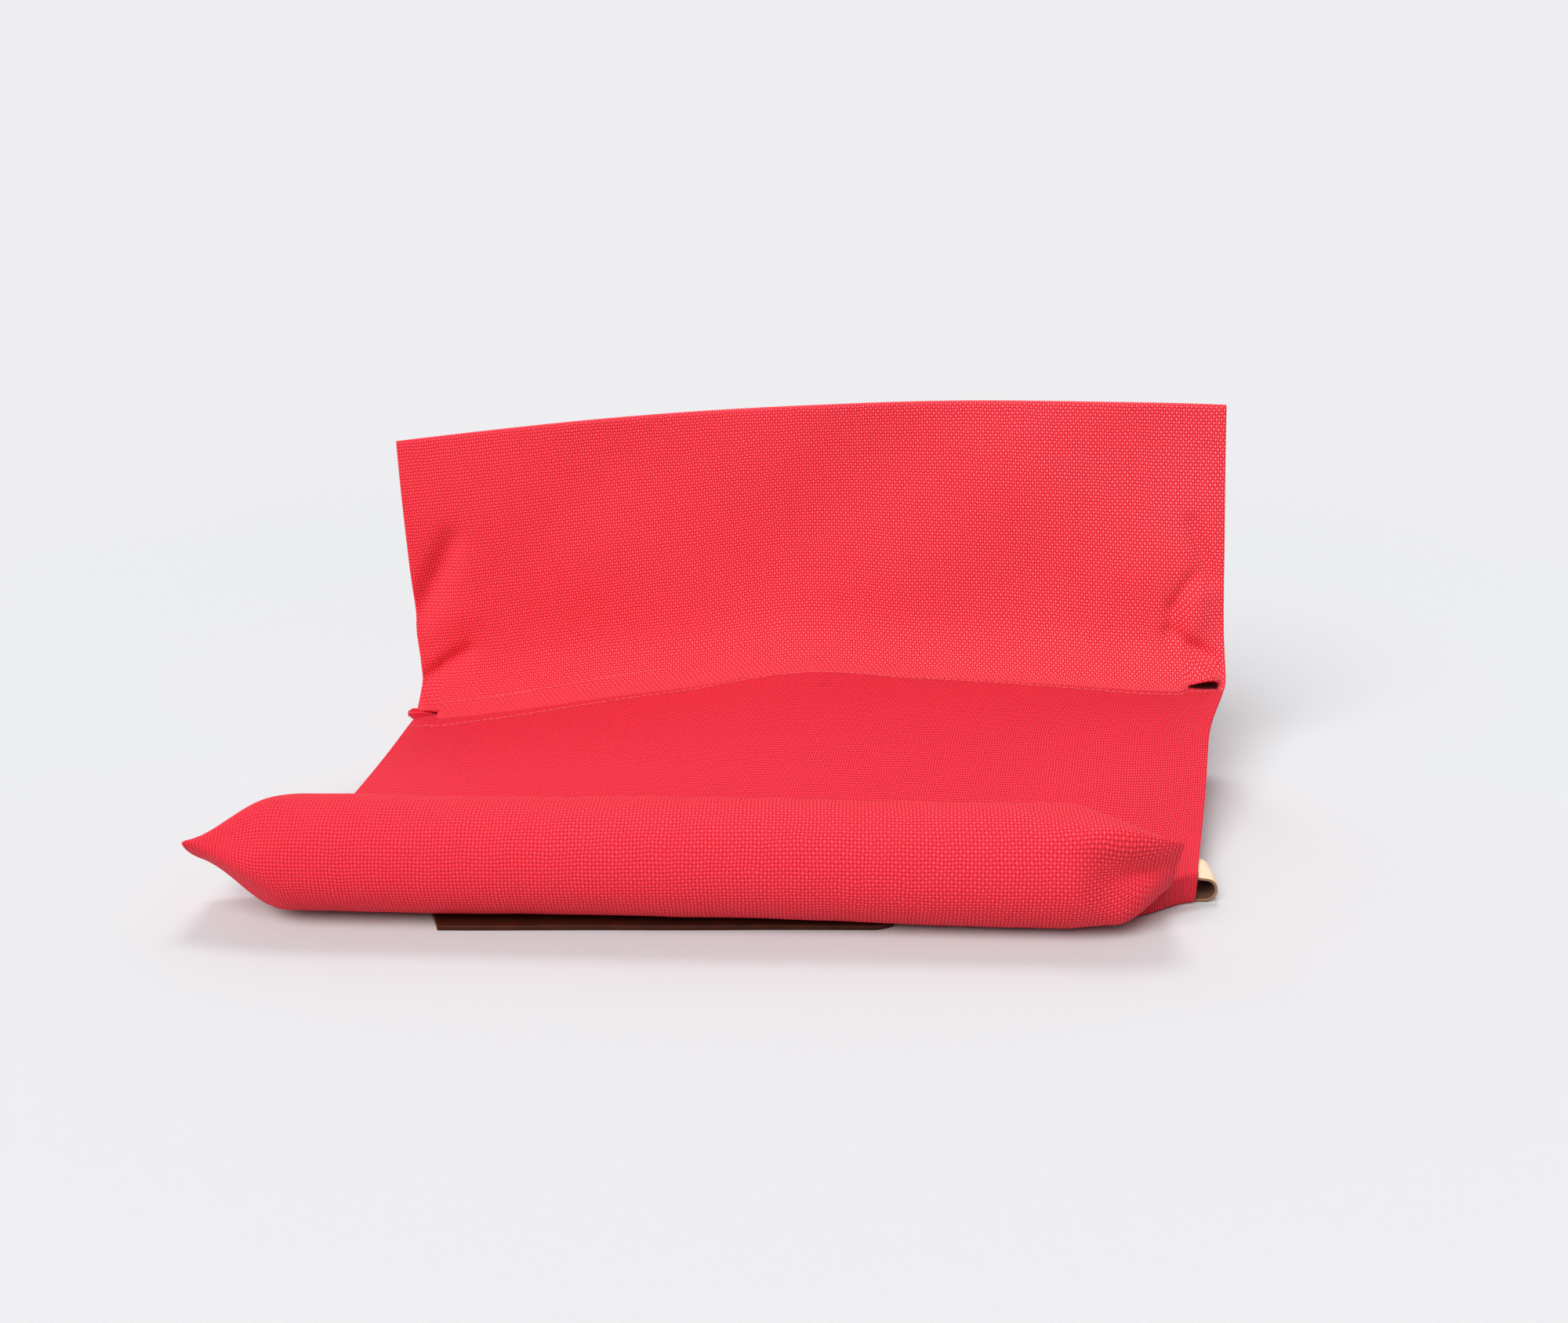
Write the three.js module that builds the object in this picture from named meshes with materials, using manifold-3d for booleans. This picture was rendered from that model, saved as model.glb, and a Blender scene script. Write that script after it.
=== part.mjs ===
// A fold-up padded rest in red woven canvas: a wedge base cushion, an upright back flap that folds along a
// sewn crease at the rear, a stuffed bolster along the front, a leather closure strap and a side loop.
// Units are millimetres, +Z is up, X runs along the crease and the bolster, and -Y is the front.
import * as THREE from 'three';
import { mergeVertices } from 'three/addons/utils/BufferGeometryUtils.js';
import Module from 'manifold-3d';

// ---- driving dimensions ----

const CLOTH = 0.8; // one layer of canvas
const GAP = 0.3; // clearance between touching pieces

const CREASE_WIDTH = 273; // length of the crease between base and flap
const CREASE_LEFT_Z = 15; // height of the crease at its left end
const CREASE_RIGHT_Z = 29; // height of the crease at its right end
const CREASE_ARCH = 10; // how far the stuffed base lifts the middle of the crease

const BASE_DEPTH = 101; // crease to the front wall
const BASE_CORNER_REACH = 6; // the front right corner reaches this far past the front wall
const BASE_SHEAR = 18; // how far the soft base is pushed to the left at its front
const BASE_TAPER = 4; // how much narrower the base is at its front
const BASE_FRONT_LEFT_Z = 6;
const BASE_FRONT_RIGHT_Z = 9;
const BASE_SLOPE_POWER = 1.3; // left end: the top falls fast at the rear and flattens towards the front
const BASE_STEEP_PART = [0.05, 0.9]; // right end: the share of the depth over which the top falls
const BASE_UNDERCUT = 14; // how far the side walls lean in from the top edge to the underside

const FLAP_HEIGHT = 95;
const FLAP_TOP_BOW = 4; // how much higher the flap's top is at its middle than at its corners
const FLAP_TOP_EXTRA = 5; // how much wider the flap is at its top
const FLAP_SWEEP = 9; // how far the flap stands behind the crease above its curved foot
const FLAP_SWEEP_HEIGHT = 8; // height over which the foot of the flap curves forward
const FLAP_LEAN = 0.05; // backward lean of the straight part, as a slope
const FLAP_START = 4.2; // the flap's lower edge above the crease, clear of the tuck as it folds
const BOARD_THICKNESS = 1.4;
const BOARD_BOTTOM = 22; // height of the board's lower edge above the crease
const BOARD_MARGIN = 3; // from the board to the flap's edges

const BOLSTER_RADIUS = 16.5;
const BOLSTER_LEFT_X = -38; // left tip, measured from the left end of the crease
const BOLSTER_LENGTH = 282;
const BOLSTER_Y = -118.2; // axis
const BOLSTER_Z = 18.3; // axis
const LEFT_PINCH = { length: 34, width: 22, tilt: -24 }; // flat sewn end: half width, tilt in degrees
const RIGHT_PINCH = { length: 32, width: 15, tilt: -48 };
const PINCH_THICKNESS = 2.5; // half thickness of a pinched end

const LEATHER = 1.5;
const STRAP_WIDTH = 14;
const STRAP_REACH = 123; // rivet to the free end
const STRAP_TURN = 2.3; // degrees that the free end lies forward of the bolster's line
const STRAP_CUT = 2.6; // how much longer the strap's rear corner is than its front one
const RIVET_X = 158; // from the left end of the crease
const RIVET_Y = -119.5;

const LOOP_WIDTH = 14; // along the side seam
const LOOP_FRONT_Y = -105.5;
const LOOP_HEIGHT = 7.8; // outside
const LOOP_THICKNESS = 1.4;
const LOOP_ROOT = 1; // how far the upper leg reaches in to the side wall
const LOOP_REACH = 0.8; // from the base's edge to the middle of the loop's bend
const LOOP_TAIL = 9.5; // how far the lower leg reaches back under the base

const THREAD = 0.45; // radius

// ---- colours ----

const RED = 0xd8202f;
const DEEP_RED = 0xb81c2a;
const FOAM = 0xe9e4d6;
const BOARD = 0xb59c74;
const TAN = 0xf3d3ab;
const BROWN = 0x5a3420;
const PINK = 0xf0848c;
const BRASS = 0xb08d4a;

const object = new THREE.Group();
const wasm = await Module();
wasm.setup();

/** Adds one named piece to the object, with its own material. */
function addPiece(name, geometry, color, roughness = 0.85, metalness = 0) {
  const material = new THREE.MeshStandardMaterial({ color, roughness, metalness });
  const mesh = new THREE.Mesh(geometry, material);
  mesh.name = name;
  object.add(mesh);
  return mesh;
}

/** A position-only geometry from rows of vertices and triangles. */
function geometryFrom(vertices, triangles) {
  const geometry = new THREE.BufferGeometry();
  geometry.setAttribute('position', new THREE.Float32BufferAttribute(vertices.flat(), 3));
  geometry.setIndex(triangles.flat());
  return geometry;
}

/**
 * A closed sheet between two surfaces on one grid. low and high take (u, v) from 0 to 1 and return a point,
 * and high lies on the side that the cross product of the u and v directions points to.
 */
function sheetBody(columns, rows, low, high) {
  const vertices = [];
  const triangles = [];
  const layer = (columns + 1) * (rows + 1);
  for (const surface of [low, high]) {
    for (let j = 0; j <= rows; j += 1) {
      for (let i = 0; i <= columns; i += 1) {
        vertices.push(surface(i / columns, j / rows));
      }
    }
  }
  const at = (i, j, side) => side * layer + j * (columns + 1) + i;
  const quad = (a, b, c, d) => triangles.push([a, b, c], [a, c, d]);
  for (let j = 0; j < rows; j += 1) {
    for (let i = 0; i < columns; i += 1) {
      quad(at(i, j, 1), at(i + 1, j, 1), at(i + 1, j + 1, 1), at(i, j + 1, 1));
      quad(at(i, j, 0), at(i, j + 1, 0), at(i + 1, j + 1, 0), at(i + 1, j, 0));
    }
  }
  for (let i = 0; i < columns; i += 1) {
    quad(at(i, 0, 0), at(i + 1, 0, 0), at(i + 1, 0, 1), at(i, 0, 1));
    quad(at(i + 1, rows, 0), at(i, rows, 0), at(i, rows, 1), at(i + 1, rows, 1));
  }
  for (let j = 0; j < rows; j += 1) {
    quad(at(0, j + 1, 0), at(0, j, 0), at(0, j, 1), at(0, j + 1, 1));
    quad(at(columns, j, 0), at(columns, j + 1, 0), at(columns, j + 1, 1), at(columns, j, 1));
  }
  return geometryFrom(vertices, triangles);
}

/** A closed body through rings of points along +X. With inner rings it is a tube, open at both ends. */
function ringBody(outer, inner = null) {
  const sides = outer[0].length;
  const last = outer.length - 1;
  const vertices = [...outer.flat(), ...(inner ?? []).flat()];
  const triangles = [];
  const at = (ring, k, wall) => wall * outer.length * sides + ring * sides + (k % sides);
  const quad = (a, b, c, d) => triangles.push([a, b, c], [a, c, d]);
  for (let ring = 0; ring < last; ring += 1) {
    for (let k = 0; k < sides; k += 1) {
      quad(at(ring, k, 0), at(ring, k + 1, 0), at(ring + 1, k + 1, 0), at(ring + 1, k, 0));
      if (inner) {
        quad(at(ring, k, 1), at(ring + 1, k, 1), at(ring + 1, k + 1, 1), at(ring, k + 1, 1));
      }
    }
  }
  for (let k = 0; k < sides; k += 1) {
    if (inner) {
      quad(at(0, k, 0), at(0, k, 1), at(0, k + 1, 1), at(0, k + 1, 0));
      quad(at(last, k, 0), at(last, k + 1, 0), at(last, k + 1, 1), at(last, k, 1));
    } else if (k > 0 && k < sides - 1) {
      triangles.push([at(0, 0, 0), at(0, k + 1, 0), at(0, k, 0)]);
      triangles.push([at(last, 0, 0), at(last, k, 0), at(last, k + 1, 0)]);
    }
  }
  return geometryFrom(vertices, triangles);
}

/** A thread or thin cord of eight sides along a list of points. */
function threadBody(points, radius, steps) {
  const circle = new THREE.Shape().absarc(0, 0, radius, 0, 2 * Math.PI);
  const extrudePath = new THREE.CatmullRomCurve3(points.map((p) => new THREE.Vector3(...p)));
  return new THREE.ExtrudeGeometry(circle, { extrudePath, steps, curveSegments: 2 });
}

/** Turns a three.js geometry into a manifold solid. */
function solidOf(geometry) {
  const bare = geometry.clone();
  bare.deleteAttribute('normal');
  bare.deleteAttribute('uv');
  const merged = mergeVertices(bare, 1e-4);
  return new wasm.Manifold(
    new wasm.Mesh({
      numProp: 3,
      vertProperties: merged.attributes.position.array,
      triVerts: new Uint32Array(merged.index.array),
    }),
  );
}

/** Turns a manifold solid back into a three.js geometry. */
function geometryOf(solid) {
  const mesh = solid.getMesh();
  const geometry = new THREE.BufferGeometry();
  geometry.setAttribute('position', new THREE.BufferAttribute(mesh.vertProperties, 3));
  geometry.setIndex(new THREE.BufferAttribute(mesh.triVerts, 1));
  return geometry;
}

const mix = THREE.MathUtils.lerp;
const radians = THREE.MathUtils.degToRad;

// ---- shape of the base and the crease ----

/** Height of the stuffed crease above a straight line between its ends. */
const archAt = (s) => CREASE_ARCH * Math.sin(Math.PI * s) ** 1.5;

/** Height of the crease, s from 0 at its left end to 1 at its right end. */
const creaseZ = (s) => mix(CREASE_LEFT_Z, CREASE_RIGHT_Z, s) + archAt(s);

/** X of the base at a share s of its width and t of its depth, t = 0 at the crease and 1 at the front. */
const baseX = (s, t) => s * (CREASE_WIDTH - BASE_TAPER * t) - BASE_SHEAR * t;

/** Depth of the base at a share s of its width. */
const baseDepth = (s) => BASE_DEPTH + BASE_CORNER_REACH * THREE.MathUtils.smoothstep(s, 0.86, 1);

/** Height of the base's top at s and t. */
function baseTopZ(s, t) {
  const front = mix(BASE_FRONT_LEFT_Z, BASE_FRONT_RIGHT_Z, s);
  const leftFall = (1 - t) ** BASE_SLOPE_POWER;
  const rightFall = 1 - THREE.MathUtils.smoothstep(t, ...BASE_STEEP_PART);
  return front + (creaseZ(s) - front) * mix(leftFall, rightFall, s * s);
}

/** A point in the base: share s of the width, t of the depth, height z, drawn in at both sides by inset. */
function basePoint(s, t, z, inset = 0) {
  const x = mix(baseX(0, t) + inset, baseX(1, t) - inset, s);
  return [x, -baseDepth(s) * t, z];
}

/** How far the side walls lean in at height z. */
const undercutAt = (s, t, z) => BASE_UNDERCUT * (1 - z / baseTopZ(s, t));

const WALL = CLOTH + GAP;
const BACK_WALL_T = WALL / BASE_DEPTH;
const FRONT_WALL_T = 1 - WALL / BASE_DEPTH;

/** t running from just inside the rear wall to just inside the front wall. */
const insideT = (v) => mix(FRONT_WALL_T, BACK_WALL_T, v);

function buildBase() {
  addPiece(
    'base_top_fabric',
    sheetBody(
      16,
      8,
      (u, v) => basePoint(u, insideT(v), baseTopZ(u, insideT(v)) - CLOTH),
      (u, v) => basePoint(u, insideT(v), baseTopZ(u, insideT(v))),
    ),
    RED,
  );
  addPiece(
    'base_underside_fabric',
    sheetBody(
      2,
      2,
      (u, v) => basePoint(u, insideT(v), 0, BASE_UNDERCUT),
      (u, v) => basePoint(u, insideT(v), CLOTH, BASE_UNDERCUT),
    ),
    DEEP_RED,
  );
  const wallBottom = CLOTH + GAP;
  const wallTop = (s, t) => baseTopZ(s, t) - CLOTH - GAP;
  for (const [name, s, side] of [['base_left_gusset', 0, 1], ['base_right_gusset', 1, -1]]) {
    const face = (depth) => (u, v) => {
      const t = side > 0 ? insideT(1 - u) : insideT(u);
      const z = mix(wallBottom, wallTop(s, t), v);
      const [x, y] = basePoint(s, t, z, undercutAt(s, t, z));
      return [x + side * depth, y, z];
    };
    addPiece(name, sheetBody(8, 2, face(CLOTH), face(0)), DEEP_RED);
  }
  const crossWall = (t, yIn, yOut, top) => {
    const face = (dy) => (u, v) => {
      const z = mix(wallBottom, top(u), v);
      const [x, y] = basePoint(u, t, z, undercutAt(u, t, z));
      return [x, y + dy, z];
    };
    return [face(yIn), face(yOut)];
  };
  const [rearIn, rearOut] = crossWall(0, -CLOTH, 0, (s) => creaseZ(s) - GAP);
  addPiece('base_rear_fabric', sheetBody(16, 2, rearOut, rearIn), DEEP_RED);
  const [frontIn, frontOut] = crossWall(1, CLOTH, 0, (s) => baseTopZ(s, 1) - GAP);
  addPiece('base_front_fabric', sheetBody(16, 1, frontIn, frontOut), DEEP_RED);

  const skin = CLOTH + 2 * GAP;
  const sideSkin = 3 * skin;
  const foamT = (v) => mix(1 - (2 * skin) / BASE_DEPTH, skin / BASE_DEPTH, v);
  addPiece(
    'base_wedge_foam',
    sheetBody(
      16,
      6,
      (u, v) => basePoint(u, foamT(v), skin, BASE_UNDERCUT + sideSkin),
      (u, v) => basePoint(u, foamT(v), baseTopZ(u, foamT(v)) - skin, sideSkin),
    ),
    FOAM,
  );
}

// ---- crease: sewn tuck and its two rows of stitches ----

const TUCK_RADIUS = 0.9;
const TUCK_BORE = 0.45;
const TUCK_Y = -2.4;
const STITCH_ROW_Y = -6.5;
const ROW_END = 0.02; // share of the width left bare at each end of a stitch row

function buildCrease() {
  const ring = new THREE.Shape().absarc(0, 0, TUCK_RADIUS, 0, 2 * Math.PI);
  ring.holes.push(new THREE.Path().absarc(0, 0, TUCK_BORE, 0, 2 * Math.PI, true));
  const lift = TUCK_RADIUS + GAP + 0.2;
  const tuckPoints = [];
  const rowPoints = [];
  for (let k = 0; k <= 16; k += 1) {
    const s = mix(ROW_END, 1 - ROW_END, k / 16);
    const rowT = -STITCH_ROW_Y / baseDepth(s);
    tuckPoints.push(new THREE.Vector3(baseX(s, 0), TUCK_Y, creaseZ(s) + lift));
    rowPoints.push([baseX(s, rowT), STITCH_ROW_Y, baseTopZ(s, rowT) + THREAD + GAP]);
  }
  const extrudePath = new THREE.CatmullRomCurve3(tuckPoints);
  addPiece(
    'hinge_tuck',
    new THREE.ExtrudeGeometry(ring, { extrudePath, steps: 16, curveSegments: 3 }),
    RED,
  );
  addPiece('hinge_stitching_lower', threadBody(rowPoints, THREAD, 20), PINK, 0.6);
}

// ---- back flap ----

const CREASE_TILT = Math.atan2(CREASE_RIGHT_Z - CREASE_LEFT_Z, CREASE_WIDTH);

/** Y of the flap's middle surface at height v above the crease. */
const flapY = (v) => FLAP_SWEEP * (1 - Math.exp(-v / FLAP_SWEEP_HEIGHT)) + FLAP_LEAN * v;

/** A point of the flap in its own plane: s across, v up from the crease line, y behind it. */
function flapPoint(s, v, y, margin = 0) {
  const length = CREASE_WIDTH / Math.cos(CREASE_TILT);
  const width = length + (FLAP_TOP_EXTRA * v) / FLAP_HEIGHT;
  const along = mix(margin, width - margin, s);
  const x = along * Math.cos(CREASE_TILT) - v * Math.sin(CREASE_TILT);
  const z = CREASE_LEFT_Z + along * Math.sin(CREASE_TILT) + v * Math.cos(CREASE_TILT);
  return [x, y, z];
}

function buildFlap() {
  const half = BOARD_THICKNESS / 2;
  const topAt = (s) => FLAP_HEIGHT + FLAP_TOP_BOW * Math.sin(Math.PI * s);
  const height = (s, v) => mix(archAt(s) + FLAP_START, topAt(s), v);
  const skin = (offset) => (u, v) => flapPoint(u, height(u, v ** 1.6), flapY(height(u, v ** 1.6)) + offset);
  const inner = half + GAP;
  const outer = inner + CLOTH;
  addPiece('flap_front_fabric', sheetBody(14, 10, skin(-inner), skin(-outer)), RED);
  addPiece('flap_rear_fabric', sheetBody(14, 10, skin(outer), skin(inner)), DEEP_RED);

  const boardHeight = (v) => mix(BOARD_BOTTOM, FLAP_HEIGHT - BOARD_MARGIN, v);
  const board = (offset) => (u, v) =>
    flapPoint(u, boardHeight(v), flapY(boardHeight(v)) + offset, BOARD_MARGIN);
  addPiece('flap_stiffener', sheetBody(2, 6, board(half), board(-half)), BOARD, 0.9);

  const ROW_HEIGHT = 2.5; // above the flap's lower edge
  const rowPoints = [];
  for (let k = 0; k <= 16; k += 1) {
    const s = mix(ROW_END, 1 - ROW_END, k / 16);
    const v = archAt(s) + FLAP_START + ROW_HEIGHT;
    rowPoints.push(flapPoint(s, v, flapY(v) - outer - THREAD - 2 * GAP));
  }
  addPiece('hinge_stitching_upper', threadBody(rowPoints, THREAD, 20), PINK, 0.6);
}

// ---- bolster ----

const BOLSTER_SIDES = 24;

/** Half width across the tilt, half thickness and tilt of the bolster's section, x from its left tip. */
function bolsterSection(x) {
  const left = THREE.MathUtils.smoothstep(x, -0.45 * LEFT_PINCH.length, LEFT_PINCH.length);
  const right = THREE.MathUtils.smoothstep(
    BOLSTER_LENGTH - x,
    -0.45 * RIGHT_PINCH.length,
    RIGHT_PINCH.length,
  );
  const pinch = x < BOLSTER_LENGTH / 2 ? LEFT_PINCH : RIGHT_PINCH;
  const end = x < BOLSTER_LENGTH / 2 ? left : right;
  const edge = THREE.MathUtils.smoothstep(0, -0.45, 1);
  const full = (end - edge) / (1 - edge);
  return {
    width: mix(pinch.width, BOLSTER_RADIUS, full),
    thickness: mix(PINCH_THICKNESS, BOLSTER_RADIUS, full ** 0.62),
    tilt: radians(mix(LEFT_PINCH.tilt, RIGHT_PINCH.tilt, x / BOLSTER_LENGTH)),
  };
}

/** One ring of the bolster at x, drawn in from its surface by depth, with the section it has at like. */
function bolsterRing(x, depth, like = x) {
  const { width, thickness, tilt } = bolsterSection(like);
  const ring = [];
  for (let k = 0; k < BOLSTER_SIDES; k += 1) {
    const angle = (2 * Math.PI * k) / BOLSTER_SIDES;
    const across = (width - depth) * Math.cos(angle);
    const up = (thickness - depth) * Math.sin(angle);
    const y = BOLSTER_Y + across * Math.cos(tilt) - up * Math.sin(tilt);
    const z = BOLSTER_Z + across * Math.sin(tilt) + up * Math.cos(tilt);
    ring.push([BOLSTER_LEFT_X + x, y, z]);
  }
  return ring;
}

/** Rings from x = from to x = to, closer together at the pinched ends. */
function bolsterRings(from, to, depth) {
  const rings = [];
  const count = 22;
  for (let k = 0; k <= count; k += 1) {
    const share = 0.5 - 0.5 * Math.cos((Math.PI * k) / count);
    rings.push(bolsterRing(mix(from, to, mix(k / count, share, 0.6)), depth));
  }
  return rings;
}

function buildBolster(rivetRoom) {
  const lip = 1.5; // the end seams close the last stretch of the cover
  const cover = ringBody(
    bolsterRings(lip, BOLSTER_LENGTH - lip, 0),
    bolsterRings(lip, BOLSTER_LENGTH - lip, CLOTH),
  );
  addPiece('bolster_cover', geometryOf(solidOf(cover).subtract(rivetRoom)), RED);

  const clear = 6; // the filling stops short of the flat ends
  const filling = ringBody(bolsterRings(clear, BOLSTER_LENGTH - clear, CLOTH + 4 * GAP));
  addPiece('bolster_filling', geometryOf(solidOf(filling).subtract(rivetRoom)), FOAM, 0.95);

  const seam = (from, to, end) =>
    ringBody([from, to].map((x) => bolsterRing(x, CLOTH + 3 * GAP, end)));
  const depth = 3;
  addPiece('bolster_left_seam', seam(0, depth, 0), DEEP_RED);
  addPiece('bolster_right_seam', seam(BOLSTER_LENGTH - depth, BOLSTER_LENGTH, BOLSTER_LENGTH), DEEP_RED);
}

/** A row of stitches along the edge where the bolster is sewn to the front of the base. */
function buildBolsterStitching() {
  const points = [];
  for (let k = 0; k <= 8; k += 1) {
    const s = mix(0.06, 0.9, k / 8);
    const t = 0.965;
    points.push([baseX(s, t), -baseDepth(s) * t, baseTopZ(s, t) + THREAD + GAP]);
  }
  addPiece('bolster_stitching', threadBody(points, THREAD, 10), PINK, 0.6);
}

// ---- closure strap and its rivet ----

const RIVET = { head: 4, shank: 1.4, headThickness: 0.6, height: 4.3, washer: 3.4, washerThickness: 0.6 };

/** A turned body about the rivet's axis from rows of radius and height. */
function turned(profile, segments = 20) {
  const lathe = new THREE.LatheGeometry(profile.map(([r, h]) => new THREE.Vector2(r, h)), segments);
  lathe.rotateX(Math.PI / 2);
  lathe.translate(RIVET_X, RIVET_Y, 0);
  return lathe;
}

function rivetProfile(grow) {
  const { head, shank, headThickness, height, washer, washerThickness } = RIVET;
  const washerFoot = height - washerThickness;
  return [
    [0, -grow],
    [head + grow, -grow],
    [head + grow, headThickness + grow],
    [shank + grow, headThickness + grow],
    [shank + grow, washerFoot - grow],
    [washer + grow, washerFoot - grow],
    [washer + grow, height + grow],
    [0, height + grow],
  ];
}

function buildStrap(rivetRoom) {
  const half = STRAP_WIDTH / 2;
  const outline = new THREE.Shape();
  outline.moveTo(0, half);
  outline.lineTo(-STRAP_REACH - STRAP_CUT, half);
  outline.lineTo(-STRAP_REACH + STRAP_CUT, -half);
  outline.lineTo(0, -half);
  outline.absarc(0, 0, half, -Math.PI / 2, Math.PI / 2);
  const strap = new THREE.ExtrudeGeometry(outline, {
    depth: LEATHER,
    bevelEnabled: false,
    curveSegments: 12,
  });
  strap.rotateZ(radians(STRAP_TURN));
  strap.translate(RIVET_X, RIVET_Y, 0);
  addPiece('closure_strap', geometryOf(solidOf(strap).subtract(rivetRoom)), BROWN, 0.6);
  addPiece('strap_rivet', turned(rivetProfile(0)), BRASS, 0.35, 1);
}

// ---- side loop ----

function buildSideLoop() {
  const t = -(LOOP_FRONT_Y + LOOP_WIDTH / 2) / baseDepth(1);
  const edgeX = baseX(1, t);
  const outer = LOOP_HEIGHT / 2;
  const inner = outer - LOOP_THICKNESS;
  const profile = new THREE.Shape();
  profile.moveTo(-LOOP_TAIL, -outer);
  profile.lineTo(0, -outer);
  profile.absarc(0, 0, outer, -Math.PI / 2, Math.PI / 2);
  profile.lineTo(-LOOP_ROOT, outer);
  profile.lineTo(-LOOP_ROOT, inner);
  profile.lineTo(0, inner);
  profile.absarc(0, 0, inner, Math.PI / 2, -Math.PI / 2, true);
  profile.lineTo(-LOOP_TAIL, -inner);
  profile.closePath();
  const loop = new THREE.ExtrudeGeometry(profile, {
    depth: LOOP_WIDTH,
    bevelEnabled: false,
    curveSegments: 10,
  });
  loop.rotateX(Math.PI / 2);
  loop.translate(edgeX + LOOP_REACH, LOOP_FRONT_Y + LOOP_WIDTH, LOOP_HEIGHT / 2);
  addPiece('side_loop', loop, TAN, 0.55);
}

const rivetRoom = solidOf(turned(rivetProfile(GAP)));
buildBase();
buildCrease();
buildFlap();
buildBolster(rivetRoom);
buildBolsterStitching();
buildStrap(rivetRoom);
buildSideLoop();

// The origin is at the middle of the underside of the whole object.
const bounds = new THREE.Box3().setFromObject(object);
const middle = bounds.getCenter(new THREE.Vector3());
object.position.set(-middle.x, -middle.y, -bounds.min.z);
object.updateMatrixWorld(true);

export default object;
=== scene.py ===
"""Looks of the fold-up padded canvas rest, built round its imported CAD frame.

Lengths are in millimetres until a mesh is made. X runs along the crease from its left end, -Y is the front.
"""

import math
import bmesh
import bpy
import numpy as np
from mathutils import Euler, Matrix, Vector


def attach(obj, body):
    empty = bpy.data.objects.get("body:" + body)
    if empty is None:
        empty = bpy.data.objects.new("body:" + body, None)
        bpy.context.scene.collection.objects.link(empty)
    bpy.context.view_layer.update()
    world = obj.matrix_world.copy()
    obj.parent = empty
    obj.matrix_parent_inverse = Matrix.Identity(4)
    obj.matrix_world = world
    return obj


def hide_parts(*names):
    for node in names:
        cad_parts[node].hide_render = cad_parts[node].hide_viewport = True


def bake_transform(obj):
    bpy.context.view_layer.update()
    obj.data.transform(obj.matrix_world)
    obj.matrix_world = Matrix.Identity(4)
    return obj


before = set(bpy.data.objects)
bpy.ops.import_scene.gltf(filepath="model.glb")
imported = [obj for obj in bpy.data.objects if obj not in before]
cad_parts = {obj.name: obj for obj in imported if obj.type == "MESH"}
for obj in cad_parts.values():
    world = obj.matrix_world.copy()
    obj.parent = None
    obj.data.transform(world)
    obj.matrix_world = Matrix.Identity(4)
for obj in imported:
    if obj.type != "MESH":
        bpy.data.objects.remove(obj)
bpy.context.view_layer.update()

MM = 0.001
SHIFT = np.array([-117.564, 61.134, 0.0])  # from the crease's left end to the middle of the object

# ---- sizes, in millimetres unless they are shares from 0 to 1 ----
CREASE_WIDTH = 273.0
CREASE_Z = (17.3, 30.3)  # at its left and right ends
CREASE_ARCH = 11.0
CREASE_PEAK = 2.6
BASE_DEPTH = 101.0
BASE_SHEAR = 12.0
BASE_TAPER = 10.0
BASE_FRONT_Z = (6.0, 9.0)  # at its left and right ends
UNDERCUT = 14.0  # how far the side walls lean in
FRONT_LIP = 4.3  # the front edge runs on under the bolster's overhang, to where it is sewn on
FLAP_HEIGHT = 92.0
FLAP_BOW = 5.8
FLAP_LEAN = 0.05
FLAP_THICK = (1.5, 2.0)  # at its side edges, and what its middle adds
LIP_Y = -2.5
LIP_SPAN = 0.8  # height of the row of cloth where the base turns up into the flap
FOOT_SWEEP = 11.5
FOOT_HEIGHT = 8.5
FRONT_STITCH_SHARE = 0.955
BOLSTER_X = (-31.5, 240.5)
BOLSTER_Y = -119.6
BOLSTER_RADIUS = (16.1, 17.0)
BOLSTER_TILT = (-33, -48)  # degrees, of the flat end seams
STRAP_LENGTH = 130.0
STRAP_WIDTH = 14.0
STRAP_THICK = 1.5
STRAP_PIVOT = (158.0, -119.5)
STRAP_ROUND_END = 7.0
LOOP_EDGE_X = 251.9
LOOP_REACH = 0.4
LOOP_FRONT_Y = -105.5
LOOP_WIDTH = 14.0
LOOP_THICK = 1.4
LOOP_RADIUS = 3.9
WARP_PITCH = 0.8
WEFT_PITCH = 1.04
STITCH_LIFT = 0.2

# ---- camera and light ----
CAMERA_PLACE = (154.0, -548.0, 212.0)
CAMERA_PITCH = 17.68  # degrees down from level
CAMERA_YAW = 2.74
CAMERA_ROLL = -0.26
CAMERA_LENS = 38.8
WORLD_COLOUR = (0.95, 0.97, 1.0, 1)
WORLD_STRENGTH = 0.3
FLOOR_COLOUR = (0.575, 0.58, 0.59, 1)
BACKDROP = (0.855, 0.858, 0.875, 1)
WALL_DISTANCE = 3.9  # metres


def to_row(points):
    return (np.asarray(points, float) + SHIFT) * MM


def smooth(x, low, high):
    t = np.clip((np.asarray(x, float) - low) / (high - low), 0, 1)
    return t * t * (3 - 2 * t)


def mix(a, b, t):
    return a + (b - a) * t


def bump(x, middle, half):
    """1 at the middle, falling smoothly to 0 at half on either side."""
    t = np.clip(np.abs((np.asarray(x, float) - middle) / half), 0, 1)
    return (1 - t * t) ** 2


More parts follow.
